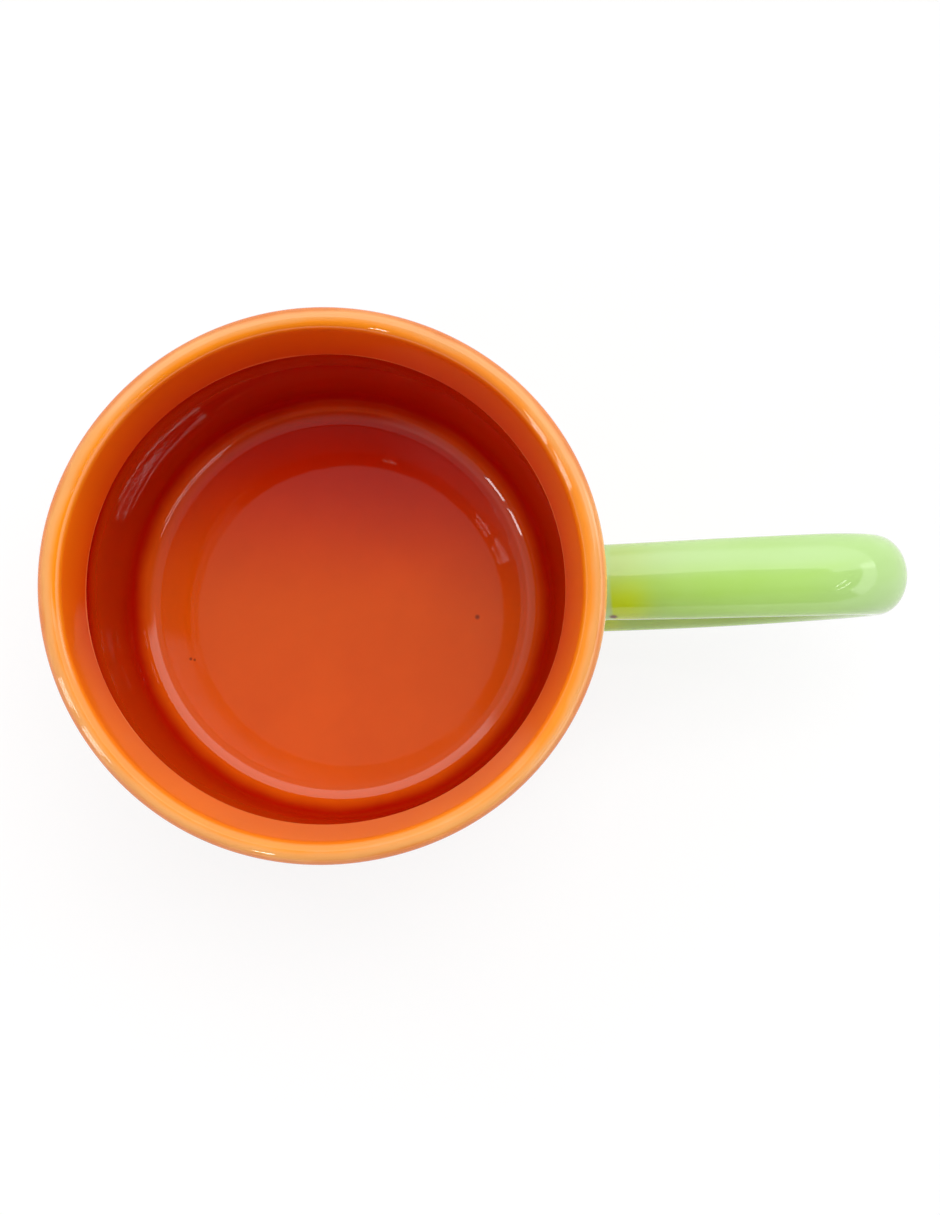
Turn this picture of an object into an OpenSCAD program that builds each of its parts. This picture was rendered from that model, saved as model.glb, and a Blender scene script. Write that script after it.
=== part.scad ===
// Glazed clay jarrito mug: a turned vessel with a flared lip, a looped handle set on with slip, and glaze.
// Millimetres. The foot stands on z = 0, the vessel turns about Z and the handle points along +X.

/* [Vessel] */
// Width across the outside of the clay lip
rim_w = 89.2; // [78:0.2:102]
// Height of the clay lip above the table
height = 81.6; // [70:0.2:96]
// Thickness of the clay wall below the neck
wall = 3.1; // [2.6:0.1:3.8]
// How far the widest part of the belly stands out past the lip
belly_swell = 1.5; // [0.8:0.1:4]
// Height of the widest part of the belly as a share of the whole height
belly_share = 0.515; // [0.47:0.005:0.55]
// Share of the narrowing from belly to neck that the side's own curve takes
upper_side = 0.69; // [0.5:0.01:0.8]
// Share of the narrowing from belly to foot that the side's own curve takes
lower_side = 0.53; // [0.4:0.01:0.7]
// Radius of the shoulder under the neck
shoulder_r = 20; // [16:0.5:24]
// Radius of the heel above the foot
heel_r = 14; // [11:0.5:17]

/* [Lip and neck] */
// Thickness of the flared collar, whose top is rounded to form the lip
lip_t = 3.1; // [2.6:0.1:3.8]
// Height of the collar, from the neck up to the centre of the rounded lip
collar_h = 10; // [8:0.5:12]
// How far the collar leans out over its height
collar_flare = 2; // [1.2:0.1:3]
// Rounding of the crease inside the neck
crease_r = 0.5; // [0.3:0.1:1]
// Rounding of the groove outside the neck
groove_r = 1.2; // [0.9:0.1:2]

/* [Floor and foot] */
// Height of the lowest part of the clay floor
floor_z = 7.6; // [6.4:0.1:9.5]
// Radius between the floor and the wall
floor_r = 6.4; // [5:0.2:8]
// How far the middle of the floor stands above its edge
floor_crown = 1.1; // [0.4:0.1:1.5]
// How far the foot ring stands in from the belly
foot_in = 10.1; // [7:0.1:13]
// Height of the foot ring
foot_h = 3; // [2.4:0.1:3.6]
// Width of the surface that the foot ring stands on
foot_land = 5; // [4:0.5:8]
// Depth of the recess inside the foot ring
foot_recess = 2; // [1:0.1:2.4]

/* [Handle] */
// How far the clay handle reaches out past the clay lip
handle_reach = 52.7; // [42:0.1:64]
// Width of the clay handle where it leaves the shoulder
handle_root_w = 12; // [10:0.1:14]
// Width of the clay handle from its bend down to the belly
handle_grip_w = 12.8; // [10.5:0.1:15]
// Thickness of the handle as a share of its width
handle_flat = 0.79; // [0.7:0.01:0.86]
// Clear height between the neck's groove and the slip of the upper joint
upper_gap = 0.4; // [0.2:0.1:3]
// Clear height between the edge of the outer glaze and the slip of the lower joint
lower_gap = 3.1; // [1:0.1:6]
// Radius of the upper limb's slight arch, on the centre line
limb_r = 300; // [240:10:400]
// Radius of the bend at the far end of the handle, on the centre line
bend_r = 10; // [8:0.5:12]

/* [Slip and glaze] */
// How far the slip around each end of the handle spreads along the wall and the handle
seam_r = 1.8; // [1.2:0.1:2.2]
// Thickness of every glaze coat
glaze_t = 0.4; // [0.25:0.05:0.6]
// Height above the table where the outer glaze stops
glaze_line = 5; // [4.2:0.2:7]

/* [Hidden] */
$fn = 96;
clay_tone = "#b5683f";
orange_tone = "#d9651a";
green_tone = "#a9cf72";
// Edge rounding of the foot ring
foot_edge = 0.8;
// Step between the foot ring and the heel
foot_step = 1;
// Steps along each arc of the outline, and along the rounded edges of the foot
arc_n = 12;
edge_n = 5;
// Points around the handle's oval section, and steps along its limb, bend and sweep
oval_n = 32;
limb_n = 8;
bend_n = 14;
sweep_n = 16;
// Steps across the slip's hollow curve, and rings across the handle's seat on the wall
seam_n = 5;
seat_n = 3;

function ang(v) = atan2(v[1], v[0]);
function polar(c, r, a) = [c[0] + r * cos(a), c[1] + r * sin(a)];
// Points along an arc after its first, which belongs to the line before it
function arc(c, r, a0, a1, n = arc_n) = [for (i = [1:n]) polar(c, r, a0 + (a1 - a0) * i / n)];
function turned_back(list) = [for (i = [len(list) - 1:-1:0]) list[i]];
// Radius of the arc that starts upright and comes in by x over a height of z
function bow(x, z) = (x * x + z * z) / (2 * x);
// Where two circles cross, on the left of the line from the first centre to the second
function crossing(c1, r1, c2, r2) =
    let (v = c2 - c1, d = norm(v), u = v / d, a = (r1 * r1 - r2 * r2 + d * d) / (2 * d))
    c1 + a * u + sqrt(r1 * r1 - a * a) * [-u[1], u[0]];
// Where a line from p along unit u first comes within r of c
function reach(p, u, c, r) =
    let (v = p - c, k = v * u)
    p + (-k - sqrt(k * k - v * v + r * r)) * u;

// Points that the outline has to meet, all in the half plane of radius and height
lip_c = [rim_w / 2 - lip_t / 2, height - lip_t / 2];
neck_c = lip_c - [collar_flare, collar_h];
collar_u = (neck_c - lip_c) / norm(neck_c - lip_c);
collar_n = [-collar_u[1], collar_u[0]];
neck = neck_c + lip_t / 2 * collar_n;
belly = [rim_w / 2 + belly_swell, height * belly_share];
foot_x = belly[0] - foot_in;
heel_foot = [foot_x + foot_step, foot_h];

// Its arcs: the side above and below the belly, the shoulder, the heel, both sides of the neck and the floor
upper_r = bow(upper_side * (belly[0] - neck[0]), neck[1] - belly[1]);
lower_r = bow(lower_side * (belly[0] - heel_foot[0]), belly[1] - heel_foot[1]);
upper_c = belly - [upper_r, 0];
lower_c = belly - [lower_r, 0];
shoulder_c = crossing(neck, shoulder_r, upper_c, upper_r - shoulder_r);
heel_c = crossing(lower_c, lower_r - heel_r, heel_foot, heel_r);
groove_c = reach(lip_c + (lip_t / 2 + groove_r) * collar_n, collar_u, shoulder_c, shoulder_r + groove_r);
crease_from = lip_c - (lip_t / 2 - crease_r) * collar_n;
crease_c = reach(crease_from, collar_u, shoulder_c, shoulder_r - wall + crease_r);
fillet_z = floor_z + floor_r;
fillet_c = [lower_c[0] + sqrt(pow(lower_r - wall - floor_r, 2) - pow(fillet_z - belly[1], 2)), fillet_z];
crown_r = bow(floor_crown, fillet_c[0]);
crown_c = [0, fillet_c[1] - sqrt(pow(crown_r + floor_r, 2) - pow(fillet_c[0], 2))];

// Angles where one arc hands over to the next
foot_a = ang(heel_foot - heel_c);
glaze_a = asin((glaze_line - heel_c[1]) / heel_r);
heel_a = ang(heel_c - lower_c);
shoulder_a = ang(shoulder_c - upper_c);
groove_a = ang(groove_c - shoulder_c);
collar_a = ang(collar_n);
crease_a = ang(crease_c - shoulder_c);
fillet_a = ang(fillet_c - lower_c);
crown_a = ang(fillet_c - crown_c);

// Outline of the outside at d off the clay, from heel angle a up to the foot of the collar
function outside(d, a) = concat(
    [polar(heel_c, heel_r + d, a)],
    arc(heel_c, heel_r + d, a, heel_a),
    arc(lower_c, lower_r + d, heel_a, 0),
    arc(upper_c, upper_r + d, 0, shoulder_a),
    arc(shoulder_c, shoulder_r + d, shoulder_a, groove_a),
    arc(groove_c, groove_r - d, groove_a + 180, collar_a + 180));
// Where the collar's outside runs into the rounded lip
function collar_top(d) = polar(lip_c, lip_t / 2 + d, collar_a);
// Outline of the inside at d off the clay, from there over the lip and down to the middle of the floor
function inside(d) = concat(
    [collar_top(d)],
    arc(lip_c, lip_t / 2 + d, collar_a, collar_a + 180, 2 * arc_n),
    [polar(crease_c, crease_r + d, collar_a + 180)],
    arc(crease_c, crease_r + d, collar_a + 180, crease_a + 180),
    arc(shoulder_c, shoulder_r - wall - d, crease_a, shoulder_a),
    arc(upper_c, upper_r - wall - d, shoulder_a, 0),
    arc(lower_c, lower_r - wall - d, 0, fillet_a),
    arc(fillet_c, floor_r - d, fillet_a, crown_a - 180),
    arc(crown_c, crown_r + d, crown_a, 90));

foot_outline = concat(
    [[0, foot_recess]],
    [[foot_x - foot_land - foot_recess, foot_recess]],
    [[foot_x - foot_land - foot_edge, foot_edge]],
    arc([foot_x - foot_land, foot_edge], foot_edge, 180, 270, edge_n),
    [[foot_x - foot_edge, 0]],
    arc([foot_x - foot_edge, foot_edge], foot_edge, -90, 0, edge_n),
    [[foot_x, foot_h - foot_step / 2]]);

// Radius of an arc's outer side, or with side -1 its inner side, at height z
function arc_x(c, r, z, side = 1) = c[0] + side * sqrt(r * r - pow(z - c[1], 2));
// Radius of the outside at height z and d off the clay: collar, groove, shoulder, side or heel
function wall_r(z, d) =
    z > groove_c[1] + (groove_r - d) * sin(collar_a + 180)
        ? lip_c[0] + (z - lip_c[1]) * collar_u[0] / collar_u[1] + (lip_t / 2 + d) / collar_n[0]
    : z > shoulder_c[1] + (shoulder_r + d) * sin(groove_a) ? arc_x(groove_c, groove_r - d, z, -1)
    : z > upper_c[1] + (upper_r + d) * sin(shoulder_a) ? arc_x(shoulder_c, shoulder_r + d, z)
    : z > belly[1] ? arc_x(upper_c, upper_r + d, z)
    : z > lower_c[1] + (lower_r + d) * sin(heel_a) ? arc_x(lower_c, lower_r + d, z)
    : arc_x(heel_c, heel_r + d, z);
function on_wall(y, z, d) = [sqrt(pow(wall_r(z, d), 2) - y * y), y, z];

// Handle ends: the upper one hangs from the neck's groove, the lower one stands on the glaze's edge
root_a = handle_root_w / 2;
grip_a = handle_grip_w / 2;
groove_z = shoulder_c[1] + shoulder_r * sin(groove_a);
upper_joint_z = groove_z - upper_gap - seam_r - root_a * handle_flat;
lower_joint_z = glaze_line + lower_gap + seam_r + grip_a * handle_flat;
upper_wall = wall_r(upper_joint_z, 0);
lower_wall = wall_r(lower_joint_z, 0);

// Handle centre line: a slightly arched upper limb, a bend, then one long sweep that meets the belly level
bend_x = rim_w / 2 + handle_reach - grip_a * handle_flat - bend_r;
limb_turn = asin((bend_x - upper_wall) / limb_r);
limb_c = [bend_x, upper_joint_z - limb_r * cos(limb_turn)];
bend_c = limb_c + [0, limb_r - bend_r];
bend_turn = 2 * atan2(bend_x - lower_wall, bend_c[1] - bend_r - lower_joint_z);
sweep_r = bend_r + (bend_x - lower_wall) / sin(bend_turn);
sweep_c = [lower_wall, lower_joint_z + sweep_r];
// Stretch of each limb next to the wall that its end and its slip take up
end_l = 2 * seam_r;

// Oval ring of half width a, grown by d, on the arc of radius r about c, where the line has turned through t
function oval(c, r, t, a, d) =
    [for (i = [0:oval_n - 1]) let (p = i * 360 / oval_n, k = r + (a * handle_flat + d) * cos(p))
        [c[0] + k * sin(t), (a + d) * sin(p), c[1] + k * cos(t)]];
// Oval of half axes a across and b up, drawn on the wall at d off the clay, about height z
function footprint(z, a, b, d) =
    [for (i = [0:oval_n - 1]) let (p = i * 360 / oval_n) on_wall(a * sin(p), z + b * cos(p), d)];

// One end of the handle, where side is 1 at the upper joint and -1 at the lower one
function end_z(side) = side > 0 ? upper_joint_z : lower_joint_z;
function end_a(side) = side > 0 ? root_a : grip_a;
function end_dir(side) = side > 0 ? [cos(limb_turn), 0, sin(limb_turn)] : [1, 0, 0];
function end_ring(side, grow, d) =
    footprint(end_z(side), end_a(side) + grow, side * (end_a(side) * handle_flat + grow), d);
// The handle's seat on the wall, from near its middle out to its edge
function seat(side) =
    [for (i = [1:seat_n]) let (a = end_a(side) * i / seat_n)
        footprint(end_z(side), a, side * a * handle_flat, 0)];
// Slip surface d off the clay at step i of its hollow, from the wall at 0 to the handle at seam_n
function seam_ring(side, i, d) =
    let (t = 90 * i / seam_n, root = end_ring(side, 0, 0), edge = end_ring(side, seam_r, 0), v = end_dir(side))
    [for (j = [0:oval_n - 1]) let (u = edge[j] - root[j])
        root[j] + u * (1 - sin(t)) + v * seam_r * (1 - cos(t)) + d * (u / norm(u) * sin(t) + v * cos(t))];

// The handle's ovals between its two ends, grown by d
limb_span = limb_turn - asin(end_l / limb_r);
sweep_span = 180 - asin(end_l / sweep_r) - bend_turn;
function middle(d) = concat(
    [for (i = [0:limb_n]) let (t = limb_span * (1 - i / limb_n))
        oval(limb_c, limb_r, -t, grip_a - (grip_a - root_a) * t / limb_turn, d)],
    [for (i = [1:bend_n]) oval(bend_c, bend_r, bend_turn * i / bend_n, grip_a, d)],
    [for (i = [1:sweep_n]) oval(sweep_c, sweep_r, bend_turn + sweep_span * i / sweep_n, grip_a, d)]);

// Closed skin over a list of rings, from cap point to cap point, or back to the first ring if none are given
module skin(rings, caps = []) {
    n = len(rings[0]);
    m = len(rings);
    sides = [for (j = [0:m - (len(caps) > 0 ? 2 : 1)]) for (i = [0:n - 1])
        let (k = (i + 1) % n, up = (j + 1) % m * n, a = j * n)
        each [[a + i, up + i, up + k], [a + i, up + k, a + k]]];
    ends = len(caps) == 0 ? [] : [for (i = [0:n - 1]) let (k = (i + 1) % n, a = (m - 1) * n)
        each [[m * n, i, k], [m * n + 1, a + k, a + i]]];
    polyhedron(concat([for (r = rings) each r], caps), concat(sides, ends));
}

// Ring of slip around one end of the handle
module slip(side) {
    rings = concat([end_ring(side, 0, 0)], [for (i = [seam_n:-1:0]) seam_ring(side, i, 0)]);
    skin(side > 0 ? rings : turned_back(rings));
}

// Opening in the outer glaze around one end of the handle
module glaze_gap(side) {
    translate([upper_wall / 2, 0, 0])
        rotate([90, 0, 90])
            linear_extrude(upper_wall)
                polygon([for (q = end_ring(side, seam_r, 0)) [q[1], q[2]]]);
}

module body() {
    color(clay_tone)
        rotate_extrude()
            polygon(concat(foot_outline, outside(0, foot_a), inside(0)));
}

module handle() {
    color(clay_tone)
        skin(
            concat(seat(-1), [seam_ring(-1, seam_n, 0)], turned_back(middle(0)),
                [seam_ring(1, seam_n, 0)], turned_back(seat(1))),
            [on_wall(0, lower_joint_z, 0), on_wall(0, upper_joint_z, 0)]);
}

module upper_handle_joint() {
    color(clay_tone)
        slip(1);
}

module lower_handle_joint() {
    color(clay_tone)
        slip(-1);
}

module inner_glaze() {
    color(orange_tone)
        rotate_extrude()
            polygon(concat(inside(0), turned_back(inside(glaze_t))));
}

module outer_glaze() {
    color(orange_tone)
        difference() {
            rotate_extrude()
                polygon(concat(
                    outside(0, glaze_a),
                    [collar_top(0), collar_top(glaze_t)],
                    turned_back(outside(glaze_t, glaze_a))));
            glaze_gap(1);
            glaze_gap(-1);
        }
}

module handle_glaze() {
    color(green_tone)
        skin(concat(
            [for (i = [0:seam_n]) seam_ring(1, i, 0)],
            middle(0),
            [for (i = [seam_n:-1:0]) seam_ring(-1, i, 0)],
            [end_ring(-1, seam_r, glaze_t)],
            [for (i = [1:seam_n]) seam_ring(-1, i, glaze_t)],
            turned_back(middle(glaze_t)),
            [for (i = [seam_n:-1:1]) seam_ring(1, i, glaze_t)],
            [end_ring(1, seam_r, glaze_t)]));
}

body();
handle();
upper_handle_joint();
lower_handle_joint();
inner_glaze();
outer_glaze();
handle_glaze();
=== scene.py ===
# Glazed clay mug with a looped green handle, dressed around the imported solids.
# Shapes are worked in millimetres and made metres when each mesh is kept.
from math import asin, atan2, cos, hypot, pi, radians, sin, sqrt

import bmesh
import bpy
from mathutils import Matrix, Vector, noise


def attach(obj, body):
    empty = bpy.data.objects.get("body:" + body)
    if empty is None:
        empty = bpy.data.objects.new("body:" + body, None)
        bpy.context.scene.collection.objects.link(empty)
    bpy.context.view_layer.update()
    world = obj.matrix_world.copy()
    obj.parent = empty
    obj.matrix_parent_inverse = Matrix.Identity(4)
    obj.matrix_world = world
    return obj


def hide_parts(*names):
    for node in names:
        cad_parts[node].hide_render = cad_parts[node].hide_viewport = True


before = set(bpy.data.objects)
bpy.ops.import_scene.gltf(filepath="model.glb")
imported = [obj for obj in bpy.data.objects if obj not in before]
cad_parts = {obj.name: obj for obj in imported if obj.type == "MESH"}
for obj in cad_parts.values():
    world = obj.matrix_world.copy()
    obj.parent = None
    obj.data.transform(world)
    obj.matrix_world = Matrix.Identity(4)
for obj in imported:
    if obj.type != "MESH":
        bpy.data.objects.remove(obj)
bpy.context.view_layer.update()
scene = bpy.context.scene
scene.view_settings.view_transform = "Standard"
mm = 0.001
meet = 0.01  # arcs whose ends are nearer than this need no line between them, mm
weld = 0.002  # points nearer than this become one, mm
print("frame loaded:", ", ".join(sorted(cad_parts)))

# the turned vessel, clay sizes
vessel = {
    "rimWide": 89.2, "height": 81.6, "wall": 3.1,
    "bellySwell": 1.5, "bellyShare": 0.515,  # belly past the lip, and its height in the whole
    "upperSide": 0.69, "lowerSide": 0.53,  # share of the narrowing that the side's own curve takes
    "shoulder": 20.0, "heel": 14.0,
    "lipThick": 3.1, "collarHigh": 10.0, "collarFlare": 2.0, "crease": 0.5, "groove": 1.2,
    "floorHigh": 7.6, "floorRound": 6.4, "floorCrown": 1.1,
    "footIn": 10.1, "footHigh": 3.0, "footLand": 5.0, "footRecess": 2.0, "footEdge": 0.8, "footStep": 1.0,
    # steps round the wheel, then along the outline
    "turns": 192, "sideSteps": 16, "bendSteps": 14, "lipSteps": 28, "filletSteps": 20, "smallSteps": 8,
    "collarSteps": 4, "riseSteps": 2, "edgeSteps": 6, "landSteps": 4, "recessSteps": 12,
}

# the glaze coats
glaze = {
    "thick": 0.4, "line": 5.0,  # coat, and height where it stops above the table
    "sink": 0.15,  # how far the back of the coat lies in the clay
    "faceSteps": 10, "backSteps": 2, "rollSteps": 8,  # along the collar, front and back, and round the edge
}


def polar(centre, radius, angle):
    return Vector((centre.x + radius * cos(angle), centre.y + radius * sin(angle)))


def angleOf(v):
    return atan2(v.y, v.x)


def bow(x, z):  # radius of an arc that starts upright and comes in by x over a height of z
    return (x * x + z * z) / (2 * x)


def crossing(c1, r1, c2, r2):  # where two circles cross, left of the line from c1 to c2
    v = c2 - c1
    d = v.length
    a = (r1 * r1 - r2 * r2 + d * d) / (2 * d)
    return c1 + v / d * a + Vector((-v.y, v.x)) / d * sqrt(r1 * r1 - a * a)


def reach(p, u, c, r):  # where a line from p along u first comes within r of c
    v = p - c
    k = v.dot(u)
    return p + (-k - sqrt(k * k - v.dot(v) + r * r)) * u


# arcs of the vessel's outline in radius and height:
# centre, radius, side that a coat grows to, two angles, and steps
def vesselArcs(s):
    lipR = s["lipThick"] / 2
    lip = Vector((s["rimWide"] / 2 - lipR, s["height"] - lipR))
    neckMid = lip - Vector((s["collarFlare"], s["collarHigh"]))
    down = (neckMid - lip).normalized()
    out = Vector((-down.y, down.x))
    neck = neckMid + out * lipR
    belly = Vector((s["rimWide"] / 2 + s["bellySwell"], s["height"] * s["bellyShare"]))
    footX = belly.x - s["footIn"]
    heelFoot = Vector((footX + s["footStep"], s["footHigh"]))
    upR = bow(s["upperSide"] * (belly.x - neck.x), neck.y - belly.y)
    lowR = bow(s["lowerSide"] * (belly.x - heelFoot.x), belly.y - heelFoot.y)
    up = belly - Vector((upR, 0))
    low = belly - Vector((lowR, 0))
    shR = s["shoulder"]
    shoulder = crossing(neck, shR, up, upR - shR)
    heel = crossing(low, lowR - s["heel"], heelFoot, s["heel"])
    groove = reach(lip + out * (lipR + s["groove"]), down, shoulder, shR + s["groove"])
    crease = reach(lip - out * (lipR - s["crease"]), down, shoulder, shR - s["wall"] + s["crease"])
    filletZ = s["floorHigh"] + s["floorRound"]
    filletX = low.x + sqrt((lowR - s["wall"] - s["floorRound"]) ** 2 - (filletZ - belly.y) ** 2)
    fillet = Vector((filletX, filletZ))
    crownR = bow(s["floorCrown"], filletX)
    crown = Vector((0, filletZ - sqrt((crownR + s["floorRound"]) ** 2 - filletX ** 2)))
    heelA = angleOf(heel - low)
    shoulderA = angleOf(shoulder - up)
    grooveA = angleOf(groove - shoulder)
    collarA = angleOf(out)
    creaseA = angleOf(crease - shoulder)
    filletA = angleOf(fillet - low)
    crownA = angleOf(fillet - crown)
    glazeA = asin((glaze["line"] - heel.y) / s["heel"])
    side, bend, small = s["sideSteps"], s["bendSteps"], s["smallSteps"]
    arcs = {
        "heel": (heel, s["heel"], 1, glazeA, heelA, side),
        "lower": (low, lowR, 1, heelA, 0, side),
        "upper": (up, upR, 1, 0, shoulderA, side),
        "shoulder": (shoulder, shR, 1, shoulderA, grooveA, bend),
        "groove": (groove, s["groove"], -1, grooveA + pi, collarA + pi, small),
        "lip": (lip, lipR, 1, collarA, collarA + pi, s["lipSteps"]),
        "creaseEdge": (crease, s["crease"], 1, collarA + pi, creaseA + pi, small),
        "innerShoulder": (shoulder, shR - s["wall"], -1, creaseA, shoulderA, bend),
        "innerUpper": (up, upR - s["wall"], -1, shoulderA, 0, side),
        "innerLower": (low, lowR - s["wall"], -1, 0, filletA, side),
        "fillet": (fillet, s["floorRound"], -1, filletA, crownA - pi, s["filletSteps"]),
        "crown": (crown, crownR, 1, crownA, pi / 2, bend),
    }
    return arcs, {"footX": footX, "footA": angleOf(heelFoot - heel), "down": down}


arcs, marks = vesselArcs(vessel)


def carry(bm, vert, centre, angle, steps):  # spins one vertex round an arc of the outline
    made = bmesh.ops.spin(bm, geom=[vert], cent=(centre.x, 0, centre.y), axis=(0, -1, 0), angle=angle,
                          steps=steps, dvec=(0, 0, 0), use_duplicate=False)
    return next(g for g in made["geom_last"] if isinstance(g, bmesh.types.BMVert))


def runTo(bm, vert, point, steps=1):  # runs a straight line on from one vertex
    step = (Vector((point.x, 0, point.y)) - vert.co) / steps
    for i in range(steps):
        vert = bmesh.ops.extrude_vert_indiv(bm, verts=[vert])["verts"][0]
        vert.co += step
    return vert


# the whole outline, d off the clay, from the heel to the floor's middle
def layOutline(bm, d, heelStart, lineSteps):
    first = polar(arcs["heel"][0], arcs["heel"][1] + d, heelStart)
    vert = start = bm.verts.new((first.x, 0, first.y))
    for name, (centre, radius, side, a0, a1, steps) in arcs.items():
        a0 = heelStart if name == "heel" else a0
        at = polar(centre, radius + side * d, a0)
        if hypot(vert.co.x - at.x, vert.co.z - at.y) > meet:
            vert = runTo(bm, vert, at, lineSteps)
        vert = carry(bm, vert, centre, a1 - a0, steps)
    vert.co.x = 0
    return start, vert


def markRun(bm, vert):  # length along the outline from this end, kept on the vertices
    run = bm.verts.layers.float["run"]
    done = {vert}
    length = 0.0
    while True:
        vert[run] = length
        ahead = [e.other_vert(vert) for e in vert.link_edges if e.other_vert(vert) not in done]
        if not ahead:
            return length
        length += (ahead[0].co - vert.co).length
        vert = ahead[0]
        done.add(vert)


def turn(bm, steps):  # one full turn on the wheel
    bmesh.ops.spin(bm, geom=bm.verts[:] + bm.edges[:], cent=(0, 0, 0), axis=(0, 0, 1), angle=2 * pi,
                   steps=steps, dvec=(0, 0, 0), use_merge=True, use_duplicate=False)
    bmesh.ops.remove_doubles(bm, verts=bm.verts[:], dist=weld)
    bmesh.ops.recalc_face_normals(bm, faces=bm.faces[:])


# small unevenness of hand work, one smooth drift for all pieces, fading out at the foot
byHand = {
    "oval": 0.010, "ovalReach": 46.0, "ovalFade": 18.0,  # share, and how far out it holds and then fades, mm
    "drift": 0.22, "wave": 30.0, "steadyBelow": 6.0, "fullAbove": 30.0,  # mm
    "seed": 5,  # the same drift every time
}
noise.seed_set(byHand["seed"])


def ease(value, low, high):  # 0 below low and 1 above high
    t = min(max((value - low) / (high - low), 0), 1)
    return t * t * (3 - 2 * t)


def unsteady(bm, s):
    for v in bm.verts:
        p = v.co.copy()
        amount = ease(p.z, s["steadyBelow"], s["fullAbove"])
        out = hypot(p.x, p.y)
        oval = s["oval"] * amount * (1 - ease(out, s["ovalReach"], s["ovalReach"] + s["ovalFade"]))
        v.co += Vector((p.x, -p.y, 0)) * oval + noise.noise_vector(p / s["wave"]) * s["drift"] * amount


def keep(bm, name):  # makes the worked mesh a piece, in metres
    unsteady(bm, byHand)
    bmesh.ops.scale(bm, vec=(mm, mm, mm), verts=bm.verts[:])
    mesh = bpy.data.meshes.new(name)
    bm.to_mesh(mesh)
    bm.free()
    mesh.polygons.foreach_set("use_smooth", [True] * len(mesh.polygons))
    piece = bpy.data.objects.new(name, mesh)
    scene.collection.objects.link(piece)
    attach(piece, "root")
    print("made", name, len(mesh.polygons), "faces")
    return piece


def wallRadius(z, d):  # the vessel's outside at height z, d off the clay
    def across(name):
        centre, radius, side = arcs[name][:3]
        way = -1 if name == "groove" else 1
        return centre.x + way * sqrt(max((radius + side * d) ** 2 - (z - centre.y) ** 2, 0))

    def top(name):
        centre, radius, side, _, a1 = arcs[name][:5]
        return centre.y + (radius + side * d) * sin(a1)

    for name in ("heel", "lower", "upper", "shoulder", "groove"):
        if z <= top(name):
            return across(name)
    lip, lipR = arcs["lip"][:2]
    down = marks["down"]
    return lip.x + (z - lip.y) * down.x / down.y - (lipR + d) / down.y


# the looped handle, clay sizes
handle = {
    "reach": 52.7, "rootWide": 12.0, "gripWide": 12.8, "flat": 0.79,
    "upperGap": 0.4, "lowerGap": 3.1,  # clear of the neck's groove above and of the glaze's edge below
    "limb": 300.0, "bend": 10.0,  # arch of the upper limb, and the bend at the far end
    "seam": 1.8,  # spread of the slip at each end
    "edgeSpread": 0.5, "edgeDip": 0.25,  # the coat's thin edge, past the seam and into the orange coat
    "around": 64, "limbSteps": 24, "bendSteps": 30, "sweepSteps": 40, "seamSteps": 10,
}


def handleLine(s):
    rootA, gripA = s["rootWide"] / 2, s["gripWide"] / 2
    shoulder, shR, _, _, grooveA = arcs["shoulder"][:5]
    upZ = shoulder.y + shR * sin(grooveA) - s["upperGap"] - s["seam"] - rootA * s["flat"]
    lowZ = glaze["line"] + s["lowerGap"] + s["seam"] + gripA * s["flat"]
    upWall, lowWall = wallRadius(upZ, 0), wallRadius(lowZ, 0)
    bendX = vessel["rimWide"] / 2 + s["reach"] - gripA * s["flat"] - s["bend"]
    limbTurn = asin((bendX - upWall) / s["limb"])
    limbC = Vector((bendX, upZ - s["limb"] * cos(limbTurn)))
    bendC = limbC + Vector((0, s["limb"] - s["bend"]))
    bendTurn = 2 * atan2(bendX - lowWall, bendC.y - s["bend"] - lowZ)
    sweepR = s["bend"] + (bendX - lowWall) / sin(bendTurn)
    return {
        "rootA": rootA, "gripA": gripA, "upZ": upZ, "lowZ": lowZ, "limbTurn": limbTurn, "limbC": limbC,
        "bendC": bendC, "bendTurn": bendTurn, "sweepR": sweepR, "sweepC": Vector((lowWall, lowZ + sweepR)),
    }


line = handleLine(handle)


def pull(bm, ring):  # pulls a new ring out of a ring of vertices, in the same order
    edges = [bm.edges.get((v, ring[i - 1])) for i, v in enumerate(ring)]
    made = bmesh.ops.extrude_edge_only(bm, edges=edges)["geom"]
    fresh = {g for g in made if isinstance(g, bmesh.types.BMVert)}
    return [next(e.other_vert(v) for e in v.link_edges if e.other_vert(v) in fresh) for v in ring]


# carries the section along an arc of the handle
def follow(bm, ring, centre, angle, steps, widths, tag, run):
    swing = Matrix.Rotation(angle / steps, 3, "Y")
    grow = ((widths[1] + glaze["thick"]) / (widths[0] + glaze["thick"])) ** (1 / steps)
    for i in range(steps):
        ring = pull(bm, ring)
        bmesh.ops.rotate(bm, cent=(centre.x, 0, centre.y), matrix=swing, verts=ring)
        middle = sum((v.co for v in ring), Vector()) / len(ring)
        bmesh.ops.scale(bm, vec=(grow, grow, grow), space=Matrix.Translation(-middle), verts=ring)
        for v in ring:
            v[tag] = run[0] + (run[1] - run[0]) * (i + 1) / steps
    return ring


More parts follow.
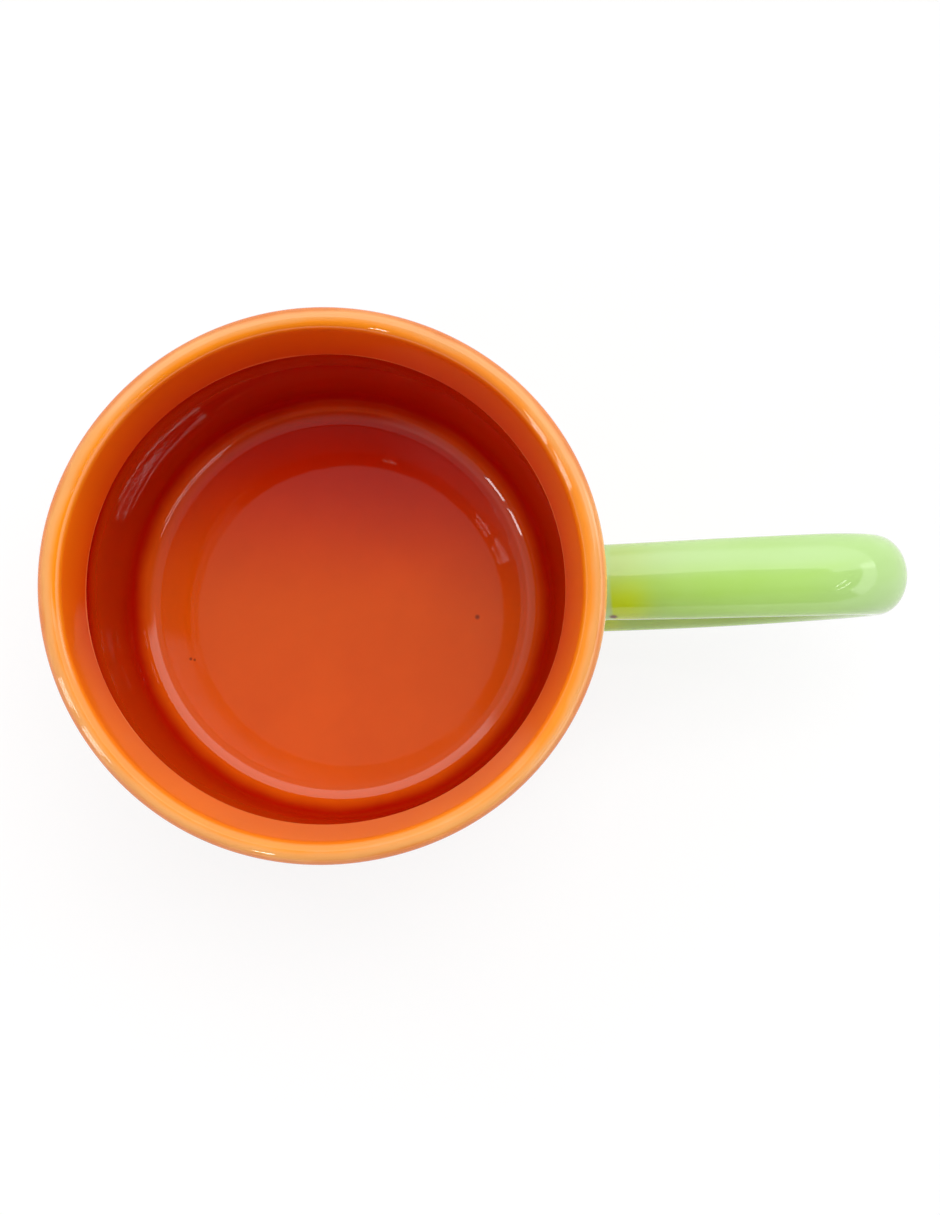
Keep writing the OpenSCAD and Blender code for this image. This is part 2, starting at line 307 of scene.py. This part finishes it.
# spreads the end of the handle on the wall in a hollow curve
def seat(bm, ring, z, half, up, ahead, tag, runEnd):
    s = handle
    steps = s["seamSteps"]

    def onWall(i, grow, d):
        p = 2 * pi * i / s["around"]
        y = (half + grow) * sin(p)
        zz = z + up * (half * s["flat"] + grow) * cos(p)
        return Vector((sqrt(wallRadius(zz, d) ** 2 - y * y), y, zz))

    start = [v[tag] for v in ring]
    for k in range(steps, -2, -1):
        ring = pull(bm, ring)
        t = pi / 2 * max(k, 0) / steps
        for i, v in enumerate(ring):
            root, edge = onWall(i, 0, 0), onWall(i, s["seam"], 0)
            u = edge - root
            if k < 0:  # the edge dips into the orange coat
                v.co = onWall(i, s["seam"] + s["edgeSpread"], glaze["thick"] - s["edgeDip"])
            else:
                v.co = (root + u * (1 - sin(t)) + ahead * s["seam"] * (1 - cos(t))
                        + glaze["thick"] * (u.normalized() * sin(t) + ahead * cos(t)))
            v[tag] = start[i] + (runEnd - start[i]) * (1 - max(k, 0) / (steps + 1))


def makeHandle():
    s = handle
    bm = bmesh.new()
    run = bm.verts.layers.float.new("run")
    endLong = 2 * s["seam"]
    limbSpan = line["limbTurn"] - asin(endLong / s["limb"])
    sweepSpan = pi - asin(endLong / line["sweepR"]) - line["bendTurn"]
    gripA = line["gripA"]
    firstA = gripA - (gripA - line["rootA"]) * limbSpan / line["limbTurn"]
    limbX, limbZ = line["limbC"]
    bmesh.ops.create_circle(bm, segments=s["around"], radius=1)
    first = bm.verts[:]
    bmesh.ops.scale(bm, vec=(firstA * s["flat"] + glaze["thick"], firstA + glaze["thick"], 1), verts=first)
    bmesh.ops.rotate(bm, cent=(0, 0, 0), matrix=Matrix.Rotation(radians(-90), 3, "Y"), verts=first)
    first.sort(key=lambda v: atan2(v.co.y, v.co.z) % (2 * pi))
    bmesh.ops.translate(bm, vec=(limbX, 0, limbZ + s["limb"]), verts=first)
    bmesh.ops.rotate(bm, cent=(limbX, 0, limbZ), matrix=Matrix.Rotation(-limbSpan, 3, "Y"), verts=first)
    for v in first:
        v[run] = endLong
    ring, at = first, endLong
    for centre, radius, angle, steps, widths in (
            (line["limbC"], s["limb"], limbSpan, s["limbSteps"], (firstA, gripA)),
            (line["bendC"], s["bend"], line["bendTurn"], s["bendSteps"], (gripA, gripA)),
            (line["sweepC"], line["sweepR"], sweepSpan, s["sweepSteps"], (gripA, gripA))):
        ring = follow(bm, ring, centre, angle, steps, widths, run, (at, at + angle * radius))
        at += angle * radius
    total = at + endLong
    ahead = Vector((cos(line["limbTurn"]), 0, sin(line["limbTurn"])))
    seat(bm, first, line["upZ"], line["rootA"], 1, ahead, run, 0.0)
    seat(bm, ring, line["lowZ"], gripA, -1, Vector((1, 0, 0)), run, total)
    bmesh.ops.recalc_face_normals(bm, faces=bm.faces[:])
    return keep(bm, "green_handle"), total


def makeOrangeCoat():
    bm = bmesh.new()
    bm.verts.layers.float.new("run")
    heel, heelR, _, glazeA = arcs["heel"][:4]
    face, back = glaze["thick"], -glaze["sink"]
    startFace, endFace = layOutline(bm, face, glazeA, glaze["faceSteps"])
    total = markRun(bm, endFace)
    startBack, _ = layOutline(bm, back, glazeA, glaze["backSteps"])
    roll = polar(heel, heelR + (face + back) / 2, glazeA)
    last = carry(bm, startFace, roll, -pi, glaze["rollSteps"])  # rounded edge of the coat above the foot
    bmesh.ops.weld_verts(bm, targetmap={last: startBack})
    turn(bm, vessel["turns"])
    return keep(bm, "orange_glaze"), total


def makeClay():
    s = vessel
    bm = bmesh.new()
    start, _ = layOutline(bm, 0, marks["footA"], s["collarSteps"])
    edge, footX, recess = s["footEdge"], marks["footX"], s["footRecess"]
    landX = footX - s["footLand"]
    vert = runTo(bm, start, Vector((footX, s["footHigh"] - s["footStep"] / 2)))
    vert = runTo(bm, vert, Vector((footX, edge)), s["riseSteps"])
    vert = carry(bm, vert, Vector((footX - edge, edge)), -pi / 2, s["edgeSteps"])
    vert = runTo(bm, vert, Vector((landX, 0)), s["landSteps"])
    vert = carry(bm, vert, Vector((landX, edge)), -pi / 2, s["edgeSteps"])
    vert = runTo(bm, vert, Vector((landX - recess, recess)), s["riseSteps"])
    runTo(bm, vert, Vector((0, recess)), s["recessSteps"])
    turn(bm, s["turns"])
    return keep(bm, "clay_vessel")


# nodes
def rgb(r, g, b):  # a colour as it looks on screen
    def lin(c):
        c /= 255
        return c / 12.92 if c <= 0.04045 else ((c + 0.055) / 1.055) ** 2.4

    return lin(r), lin(g), lin(b), 1.0


def blankMaterial(name):
    m = bpy.data.materials.new(name)
    m.use_nodes = True
    return m, m.node_tree, m.node_tree.nodes["Principled BSDF"]


def put(tree, value, socket):  # a link where another node feeds the socket, or else a plain value
    if isinstance(value, bpy.types.NodeSocket):
        tree.links.new(value, socket)
    else:
        socket.default_value = value


def calc(tree, operation, *values):
    node = tree.nodes.new("ShaderNodeMath")
    node.operation = operation
    for value, socket in zip(values, node.inputs):
        put(tree, value, socket)
    return node.outputs[0]


def times(tree, a, b):
    return calc(tree, "MULTIPLY", a, b)


def vectorCalc(tree, operation, a, b, out="Vector"):
    node = tree.nodes.new("ShaderNodeVectorMath")
    node.operation = operation
    tree.links.new(a, node.inputs[0])
    node.inputs[1].default_value = b
    return node.outputs[out]


def fade(tree, value, low, high):  # 0 at low and 1 at high, eased at both ends
    node = tree.nodes.new("ShaderNodeMapRange")
    node.interpolation_type = "SMOOTHSTEP"
    put(tree, value, node.inputs["Value"])
    node.inputs["From Min"].default_value = low
    node.inputs["From Max"].default_value = high
    return node.outputs["Result"]


def fadeOver(tree, value, span):  # the same over a span of the object, given in mm
    return fade(tree, value, span[0] * mm, span[1] * mm)


def tint(tree, amount, a, b, how="MIX"):  # from colour a to colour b
    node = tree.nodes.new("ShaderNodeMix")
    node.data_type = "RGBA"
    node.blend_type = how
    put(tree, amount, node.inputs["Factor"])
    put(tree, a, node.inputs["A"])
    put(tree, b, node.inputs["B"])
    return node.outputs["Result"]


def grain(tree, place, scale, detail):
    node = tree.nodes.new("ShaderNodeTexNoise")
    tree.links.new(place, node.inputs["Vector"])
    put(tree, scale, node.inputs["Scale"])
    node.inputs["Detail"].default_value = detail
    return node.outputs["Fac"]


def drawnGrain(tree, place, stretch, detail):  # grain with its own scale along each axis
    return grain(tree, vectorCalc(tree, "MULTIPLY", place, stretch), 1.0, detail)


def addPlace(tree):
    return tree.nodes.new("ShaderNodeTexCoord").outputs["Object"]


# 1 in the core of a speck at this point, falling to 0 at its size, both in mm
def nearTo(tree, place, point, size, core=0.35):
    away = vectorCalc(tree, "DISTANCE", place, Vector(point) * mm, "Value")
    return fadeOver(tree, away, (size, size * core))


def axisOf(tree, place, axis):
    node = tree.nodes.new("ShaderNodeSeparateXYZ")
    tree.links.new(place, node.inputs[0])
    return node.outputs[axis]


def ramp(tree, value, stops):
    node = tree.nodes.new("ShaderNodeValToRGB")
    places = node.color_ramp.elements
    while len(places) < len(stops):
        places.new(1.0)
    for place, (at, colour) in zip(places, stops):
        place.position = at
        place.color = colour
    put(tree, value, node.inputs["Fac"])
    return node.outputs["Color"]


def addRun(tree):  # length along the piece that its vertices keep, mm
    node = tree.nodes.new("ShaderNodeAttribute")
    node.attribute_name = "run"
    return node.outputs["Fac"]


# skin of a fired glaze: slow ripple, fine peel, pinholes and clouds of thicker colour
skinShape = {
    "rippleDetail": 1.0, "peelFiner": 9.0, "cloudDetail": 3.0,
    "pitEdge": (0.12, 0.04), "cloudEdge": (0.3, 0.7),  # where a pit and a cloud begin and are full
}


def glazeSkinGroup(s):
    tree = bpy.data.node_groups.new("glaze_skin", "ShaderNodeTree")
    for name in ("Ripple Scale", "Ripple", "Peel", "Pit Scale", "Pit Share", "Cloud Scale"):
        tree.interface.new_socket(name, in_out="INPUT", socket_type="NodeSocketFloat")
    for name in ("Height", "Pits", "Cloud"):
        tree.interface.new_socket(name, in_out="OUTPUT", socket_type="NodeSocketFloat")
    given = tree.nodes.new("NodeGroupInput").outputs
    made = tree.nodes.new("NodeGroupOutput").inputs
    place = addPlace(tree)
    ripple = times(tree, grain(tree, place, given["Ripple Scale"], s["rippleDetail"]), given["Ripple"])
    peelScale = times(tree, given["Ripple Scale"], s["peelFiner"])
    peel = times(tree, grain(tree, place, peelScale, s["rippleDetail"]), given["Peel"])
    cells = tree.nodes.new("ShaderNodeTexVoronoi")
    tree.links.new(place, cells.inputs["Vector"])
    tree.links.new(given["Pit Scale"], cells.inputs["Scale"])
    few = calc(tree, "LESS_THAN", cells.outputs["Color"], given["Pit Share"])
    pits = times(tree, fade(tree, cells.outputs["Distance"], *s["pitEdge"]), few)
    height = calc(tree, "SUBTRACT", calc(tree, "ADD", ripple, peel), pits)
    cloud = fade(tree, grain(tree, place, given["Cloud Scale"], s["cloudDetail"]), *s["cloudEdge"])
    tree.links.new(height, made["Height"])
    tree.links.new(pits, made["Pits"])
    tree.links.new(cloud, made["Cloud"])
    return tree


glazeSkin = glazeSkinGroup(skinShape)


def addSkin(tree, values):
    node = tree.nodes.new("ShaderNodeGroup")
    node.node_tree = glazeSkin
    for name, value in values.items():
        node.inputs[name].default_value = value
    return node.outputs


def addBump(tree, bsdf, height, strength, depth):  # depth in mm
    node = tree.nodes.new("ShaderNodeBump")
    node.inputs["Strength"].default_value = strength
    node.inputs["Distance"].default_value = depth * mm
    tree.links.new(height, node.inputs["Height"])
    tree.links.new(node.outputs["Normal"], bsdf.inputs["Normal"])


def finishGlaze(tree, bsdf, base, skin, s):
    tree.links.new(base, bsdf.inputs["Base Color"])
    bsdf.inputs["Specular IOR Level"].default_value = s["gloss"]
    least, more = s["rough"]
    tree.links.new(calc(tree, "MULTIPLY_ADD", skin["Cloud"], more, least), bsdf.inputs["Roughness"])
    addBump(tree, bsdf, skin["Height"], *s["bump"])


# where each arc of the coat starts and ends, as a share of the run from the floor's middle
def outlineShares(d):
    spans, at, last = {}, 0.0, None
    for name in reversed(arcs):
        centre, radius, side, a0, a1 = arcs[name][:5]
        r = radius + side * d
        near, far = polar(centre, r, a1), polar(centre, r, a0)
        at += (near - last).length if last else 0.0
        spans[name] = (at, at + abs(a1 - a0) * r)
        at, last = spans[name][1], far
    return {name: (a / at, b / at) for name, (a, b) in spans.items()}


def along(span, share):
    return span[0] + (span[1] - span[0]) * share


orange = {
    # colour zones from the floor's middle up the wall, over the lip and down the outside
    # painted shade: the wall and the high wall are painted a deep red for the shade inside the hollow
    "floor": rgb(250, 110, 14), "wall": rgb(200, 5, 1), "highWall": rgb(222, 66, 8),
    # painted highlight: the pale crease line on the edge; painted shade: the collar darkens from its top down
    # to the crease
    "crease": rgb(246, 140, 76), "collar": rgb(210, 68, 6), "collarTop": rgb(236, 112, 12),
    # the pale lip is partly thinner glaze over the edge and partly painted reflection; the darker lip outside
    # is painted shade
    "lipIn": rgb(240, 140, 26), "lip": rgb(230, 160, 90), "lipOut": rgb(216, 112, 18),
    "outside": rgb(230, 112, 22), "groove": rgb(206, 80, 12), "heel": rgb(216, 94, 18),
    # where zones end, as shares: of the fillet, of the crease, of the lip, and from the lip to the groove
    "floorEnds": (0.36, 0.7), "creaseEnds": (0.25, 0.75), "lipEnds": (0.2, 0.36, 0.47, 0.58, 0.74),
    "outsideStarts": 0.3,
    "wander": (70.0, 3.0, 2.2),  # how the zones waver: scale, detail, and mm from side to side
    # painted shade: the floor reddens towards its far side, this way over a span in mm, as far as this share
    # of the fillet
    "farWay": (0.08, 1.0, 0.0), "floorShade": rgb(236, 48, 4), "farSide": (-4.0, 32.0), "farEnds": 0.5,
    # painted light and shade: the collar pales on one side and reddens on the other: colour, span in mm, and
    # share
    "collarLightShade": [(rgb(252, 132, 36), (-4.0, -36.0), 0.75), (rgb(202, 40, 4), (4.0, 36.0), 0.6)],
    "collarEnds": 0.38,  # share of the lip
    # painted reflection: the lip's outside pales by the handle, over a span in mm and shares of the lip
    "handleReflection": rgb(242, 188, 100), "handleSide": (41.5, 46.5),
    "handleIn": (0.6, 0.85), "handleOut": (1.3, 1.0),
    # thicker glaze in clouds, and in faint runs down the wall
    "thick": (0.72, 0.5, 0.4, 1.0), "cloud": 0.14,
    "drip": (75.0, 75.0, 24.0), "dripDetail": 3.0, "dripEdge": (0.35, 0.7), "dripShare": 0.12,
    "pit": rgb(96, 34, 12),
    "specks": [  # place and size, mm
        ((25.5, -3.1, 8.9), 0.8), ((-28.6, -9.3, 8.5), 0.5), ((-27.9, -9.5, 8.5), 0.42),
    ],
    "skin": {"Ripple Scale": 55.0, "Ripple": 1.0, "Peel": 0.12, "Pit Scale": 260.0, "Pit Share": 0.006,
             "Cloud Scale": 45.0},
    "gloss": 0.62, "bump": (0.13, 0.25), "rough": (0.015, 0.03),
}


def orangeMaterial(total):
    s = orange
    m, tree, bsdf = blankMaterial("orange_glaze")
    place = addPlace(tree)
    skin = addSkin(tree, s["skin"])
    at = outlineShares(glaze["thick"])
    fillet, crease, lip, groove = at["fillet"], at["creaseEdge"], at["lip"], at["groove"]
    run = calc(tree, "DIVIDE", addRun(tree), total)
    scale, detail, sway = s["wander"]
    drift = calc(tree, "SUBTRACT", grain(tree, place, scale, detail), 0.5)
    zone = calc(tree, "ADD", run, times(tree, drift, sway / total))
    floorEnd, wallStart = (along(fillet, share) for share in s["floorEnds"])
    lineStart, lineEnd = (along(crease, share) for share in s["creaseEnds"])
    inStart, inEnd, lipStart, lipEnd, outStart = (along(lip, share) for share in s["lipEnds"])
    # the zones lay painted shade on the wall and collar, a painted highlight on the crease and painted
    # reflection on the lip
    base = ramp(tree, zone, [
        (0.0, s["floor"]), (floorEnd, s["floor"]), (wallStart, s["wall"]), (at["innerLower"][1], s["wall"]),
        (at["innerUpper"][1], s["highWall"]), (at["innerShoulder"][1], s["highWall"]),
        (lineStart, s["crease"]), (lineEnd, s["crease"]), (crease[1], s["collar"]), (lip[0], s["collarTop"]),
        (inStart, s["lipIn"]), (inEnd, s["lipIn"]), (lipStart, s["lip"]), (lipEnd, s["lip"]),
        (outStart, s["lipOut"]), (lip[1], s["lipOut"]),
        (along((lip[1], groove[0]), s["outsideStarts"]), s["outside"]),
        (groove[0], s["groove"]), (groove[1], s["groove"]),
        (at["shoulder"][1], s["outside"]), (at["lower"][1], s["outside"]), (1.0, s["heel"])])
    across = vectorCalc(tree, "DOT_PRODUCT", place, s["farWay"], "Value")
    # painted shade on the floor's far side
    onFloor = fade(tree, run, along(fillet, s["farEnds"]), fillet[0])
    base = tint(tree, times(tree, fadeOver(tree, across, s["farSide"]), onFloor), base, s["floorShade"])
    onCollar = times(tree, fade(tree, run, lineEnd, crease[1]),
                     fade(tree, run, along(lip, s["collarEnds"]), lip[0]))
    # painted light on one side of the collar and painted shade on the other
    for colour, span, share in s["collarLightShade"]:
        part = times(tree, fadeOver(tree, across, span), share)
        base = tint(tree, times(tree, part, onCollar), base, colour)
    base = tint(tree, times(tree, skin["Cloud"], s["cloud"]), base, s["thick"], "MULTIPLY")
    drips = fade(tree, drawnGrain(tree, place, s["drip"], s["dripDetail"]), *s["dripEdge"])
    base = tint(tree, times(tree, drips, s["dripShare"]), base, s["thick"], "MULTIPLY")
    # painted reflection on the lip's outside by the handle
    onEdge = times(tree, fade(tree, run, *(along(lip, share) for share in s["handleIn"])),
                   fade(tree, run, *(along(lip, share) for share in s["handleOut"])))
    handleReflection = times(tree, onEdge, fadeOver(tree, axisOf(tree, place, "X"), s["handleSide"]))
    base = tint(tree, handleReflection, base, s["handleReflection"])
    base = tint(tree, skin["Pits"], base, s["pit"])
    for point, size in s["specks"]:
        base = tint(tree, nearTo(tree, place, point, size), base, s["pit"])
    finishGlaze(tree, bsdf, base, skin, s)
    return m


green = {
    "body": rgb(163, 206, 92), "pale": rgb(176, 214, 126), "cloud": 0.4,
    # paler streaks pulled along the limbs
    "streak": (18.0, 160.0, 160.0), "streakDetail": 2.0, "streakEdge": (0.4, 0.7), "streakShare": 0.5,
    # painted highlight on one side and at the far end, and painted shade low down: spans in mm
    "sheen": rgb(182, 208, 164), "sheenSide": (-1.0, 3.5), "sheenEnd": (76.0, 92.0), "sheenShare": 0.4,
    # painted shade: the low colour darkens the handle's lower parts
    "low": rgb(154, 198, 48), "shadedLimb": (48.0, 34.0), "shadeShare": 0.4,
    # pale seats on the wall, and yellower roots past them, strongest on one side: runs and span in mm
    "seat": rgb(176, 211, 134), "seatEnds": (3.32, 3.44),
    "root": rgb(182, 212, 32), "rootEnds": (11.0, 4.4), "rootSide": (3.0, -5.0), "rootLeast": 0.15,
    "spot": rgb(116, 82, 38), "spots": [((47.2, -5.75, 64.5), 0.95)],  # place and size, mm
    "skin": {"Ripple Scale": 48.0, "Ripple": 1.0, "Peel": 0.1, "Pit Scale": 240.0, "Pit Share": 0.004,
             "Cloud Scale": 70.0},
    "gloss": 0.62, "bump": (0.13, 0.25), "rough": (0.015, 0.03),
}


def greenMaterial(total):
    s = green
    m, tree, bsdf = blankMaterial("green_glaze")
    place = addPlace(tree)
    skin = addSkin(tree, s["skin"])
    run = addRun(tree)
    fromEnd = calc(tree, "MINIMUM", run, calc(tree, "SUBTRACT", total, run))
    x, y, z = (axisOf(tree, place, axis) for axis in "XYZ")
    base = tint(tree, times(tree, skin["Cloud"], s["cloud"]), s["body"], s["pale"])
    pulled = fade(tree, drawnGrain(tree, place, s["streak"], s["streakDetail"]), *s["streakEdge"])
    base = tint(tree, times(tree, pulled, s["streakShare"]), base, s["pale"])
    # painted highlight on the handle's +Y side and round its far end
    sheen = calc(tree, "MAXIMUM", fadeOver(tree, y, s["sheenSide"]), fadeOver(tree, x, s["sheenEnd"]))
    base = tint(tree, times(tree, sheen, s["sheenShare"]), base, s["sheen"])
    # painted shade on the lower limb, under the upper one
    base = tint(tree, times(tree, fadeOver(tree, z, s["shadedLimb"]), s["shadeShare"]), base, s["low"])
    pastSeat = fade(tree, fromEnd, *s["seatEnds"])
    yellow = times(tree, fade(tree, fromEnd, *s["rootEnds"]), pastSeat)
    side = calc(tree, "MAXIMUM", fadeOver(tree, y, s["rootSide"]), s["rootLeast"])
    base = tint(tree, times(tree, yellow, side), base, s["root"])
    base = tint(tree, calc(tree, "SUBTRACT", 1.0, pastSeat), base, s["seat"])
    base = tint(tree, skin["Pits"], base, s["spot"])
    for point, size in s["spots"]:
        base = tint(tree, nearTo(tree, place, point, size), base, s["spot"])
    finishGlaze(tree, bsdf, base, skin, s)
    return m


clay = {
    "body": rgb(198, 126, 84), "dark": rgb(176, 104, 66), "grog": rgb(222, 174, 134), "roughness": 0.85,
    # scale and detail of each grain, and where its colour starts and is full
    "mottle": (220.0, 4.0), "mottleEdge": (0.35, 0.65), "grains": (1500.0, 2.0), "grainsEdge": (0.62, 0.72),
    "tooth": (1800.0, 4.0), "bump": (0.5, 0.2),  # strength, and depth in mm
}


def clayMaterial(s):
    m, tree, bsdf = blankMaterial("raw_clay")
    place = addPlace(tree)
    base = tint(tree, fade(tree, grain(tree, place, *s["mottle"]), *s["mottleEdge"]), s["body"], s["dark"])
    base = tint(tree, fade(tree, grain(tree, place, *s["grains"]), *s["grainsEdge"]), base, s["grog"])
    tree.links.new(base, bsdf.inputs["Base Color"])
    bsdf.inputs["Roughness"].default_value = s["roughness"]
    addBump(tree, bsdf, grain(tree, place, *s["tooth"]), *s["bump"])
    return m


orangeCoat, orangeLong = makeOrangeCoat()
greenHandle, greenLong = makeHandle()
clayVessel = makeClay()
orangeCoat.data.materials.append(orangeMaterial(orangeLong))
greenHandle.data.materials.append(greenMaterial(greenLong))
raw = clayMaterial(clay)
clayVessel.data.materials.append(raw)
for name in ("handle", "upper_handle_joint", "lower_handle_joint"):
    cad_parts[name].data.materials.clear()
    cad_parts[name].data.materials.append(raw)
coat = greenHandle.modifiers.new("coat", "SOLIDIFY")
coat.thickness = glaze["thick"] * mm
coat.offset = -1
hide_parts("inner_glaze", "outer_glaze")
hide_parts("handle_glaze")
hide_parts("body")
print("glazes and clay laid on")

# camera
shot = {
    "at": (18.4, -21.1, 478.5), "look": (23.25, -4.36, 82.0), "roll": 1.8,  # mm, mm, degrees
    "focal": 2500, "imageLong": 1215, "sensor": 36.0,  # pixels, pixels, mm
}


def makeCamera(s):
    cam = bpy.data.cameras.new("camera")
    cam.sensor_width = s["sensor"]
    cam.lens = s["focal"] / s["imageLong"] * s["sensor"]
    ob = bpy.data.objects.new("camera", cam)
    scene.collection.objects.link(ob)
    at = Vector(s["at"])
    ahead = (Vector(s["look"]) - at).normalized()
    right = ahead.cross(Vector((0, 1, 0))).normalized()
    up = right.cross(ahead)
    turned = Matrix.Rotation(radians(s["roll"]), 3, ahead)
    facing = Matrix((turned @ right, turned @ up, -ahead)).transposed()
    ob.matrix_world = Matrix.Translation(at * mm) @ facing.to_4x4()
    scene.camera = ob


makeCamera(shot)

# floor, backdrop and light
studio = {
    "floorWide": 12.0, "backdropHigh": 1.62, "floorSides": 96,  # metres, metres, count
    "tone": 0.92, "matt": 0.9, "glow": 0.84,  # the floor's colour and roughness, and its share of plain white
    "room": (0.03, 0.33), "overhead": (0.78, 0.98),  # the room's light low and overhead, and where it rises
    # lit sides: brightness, bearing, half width and soft edge in degrees, and where the top edge fades
    "sides": [
        (1.6, 75.0, 60.0, 8.0, (0.975, 0.955)),
        (1.9, -12.0, 30.0, 8.0, (0.62, 0.56)),
        (0.38, 190.0, 45.0, 20.0, (0.97, 0.93)),
    ],
    "aim": (0.02, 0.0, 0.06), "away": 1.0,  # where the lamps point, and how far off they hang, metres
    # bearing and height in degrees, width and height in metres, brightness where 1 is white, shown in gloss
    "lamps": {
        "top": (65.0, 77.0, 0.35, 0.35, 7.6, False),
        "bulb": (251.0, 40.0, 0.06, 0.03, 60.0, True),
        "lowTube": (318.0, 46.0, 0.42, 0.016, 10.0, True),
        "highTube": (322.0, 54.0, 0.36, 0.016, 10.0, True),
    },
    # a window of panes, in degrees and metres
    "window": {
        "bearings": (198.0, 209.0), "heights": (19.0, 32.0, 46.0), "pane": (0.1, 0.13), "bright": 8.5,
    },
}


def seenDirectly(tree):  # 1 for what the camera sees, also in gloss and through glass
    path = tree.nodes.new("ShaderNodeLightPath")
    seen = calc(tree, "MAXIMUM", path.outputs["Is Camera Ray"], path.outputs["Is Glossy Ray"])
    return calc(tree, "MAXIMUM", seen, path.outputs["Is Transmission Ray"])


def paleMaterial(s):
    m, tree, bsdf = blankMaterial("pale_floor")
    bsdf.inputs["Base Color"].default_value = (s["tone"], s["tone"], s["tone"], 1)
    bsdf.inputs["Roughness"].default_value = s["matt"]
    bsdf.inputs["Specular IOR Level"].default_value = 0.0
    white = tree.nodes.new("ShaderNodeEmission")
    blend = tree.nodes.new("ShaderNodeMixShader")
    tree.links.new(times(tree, seenDirectly(tree), s["glow"]), blend.inputs["Fac"])
    tree.links.new(bsdf.outputs[0], blend.inputs[1])
    tree.links.new(white.outputs[0], blend.inputs[2])
    tree.links.new(blend.outputs[0], tree.nodes["Material Output"].inputs["Surface"])
    return m


def makeFloor(s):
    bm = bmesh.new()
    made = bmesh.ops.create_circle(bm, cap_ends=True, segments=s["floorSides"], radius=s["floorWide"] / 2)
    rim = {e for v in made["verts"] for e in v.link_edges}
    wall = bmesh.ops.extrude_edge_only(bm, edges=list(rim))["geom"]
    top = [g for g in wall if isinstance(g, bmesh.types.BMVert)]
    bmesh.ops.translate(bm, vec=(0, 0, s["backdropHigh"]), verts=top)
    mesh = bpy.data.meshes.new("floor")
    bm.to_mesh(mesh)
    bm.free()
    mesh.materials.append(paleMaterial(s))
    floor = bpy.data.objects.new("floor", mesh)
    scene.collection.objects.link(floor)


def makeRoom(s):
    world = bpy.data.worlds.new("studio")
    scene.world = world
    world.use_nodes = True
    tree = world.node_tree
    towards = tree.nodes.new("ShaderNodeTexCoord").outputs["Generated"]
    up = axisOf(tree, towards, "Z")
    low, high = s["room"]
    lit = calc(tree, "MULTIPLY_ADD", fade(tree, up, *s["overhead"]), high - low, low)
    level = vectorCalc(tree, "NORMALIZE", vectorCalc(tree, "MULTIPLY", towards, (1, 1, 0)), (0, 0, 0))
    for bright, bearing, half, soft, top in s["sides"]:
        middle = (cos(radians(bearing)), sin(radians(bearing)), 0)
        facing = vectorCalc(tree, "DOT_PRODUCT", level, middle, "Value")
        across = fade(tree, facing, cos(radians(half + soft)), cos(radians(half)))
        side = times(tree, across, fade(tree, up, *top))
        lit = calc(tree, "ADD", lit, times(tree, side, bright))
    shown = tree.nodes["Background"]
    shown.inputs["Color"].default_value = (1, 1, 1, 1)
    tree.links.new(lit, shown.inputs["Strength"])


def addLamp(s, name, bearing, height, wide, high, bright, inGloss):
    lamp = bpy.data.lights.new(name, "AREA")
    lamp.shape = "RECTANGLE"
    lamp.size, lamp.size_y = wide, high
    lamp.energy = bright * pi * wide * high
    ob = bpy.data.objects.new(name, lamp)
    scene.collection.objects.link(ob)
    flat = cos(radians(height))
    out = Vector((flat * cos(radians(bearing)), flat * sin(radians(bearing)), sin(radians(height))))
    ob.location = Vector(s["aim"]) + out * s["away"]
    ob.rotation_euler = out.to_track_quat("Z", "Y").to_euler()
    ob.visible_glossy = inGloss
    ob.visible_camera = False


def makeLamps(s):
    for name, values in s["lamps"].items():
        addLamp(s, name, *values)
    w = s["window"]
    for bearing in w["bearings"]:
        for height in w["heights"]:
            addLamp(s, "pane_%d_%d" % (bearing, height), bearing, height, *w["pane"], w["bright"], True)


makeFloor(studio)
makeRoom(studio)
makeLamps(studio)
print("camera, floor and light set")
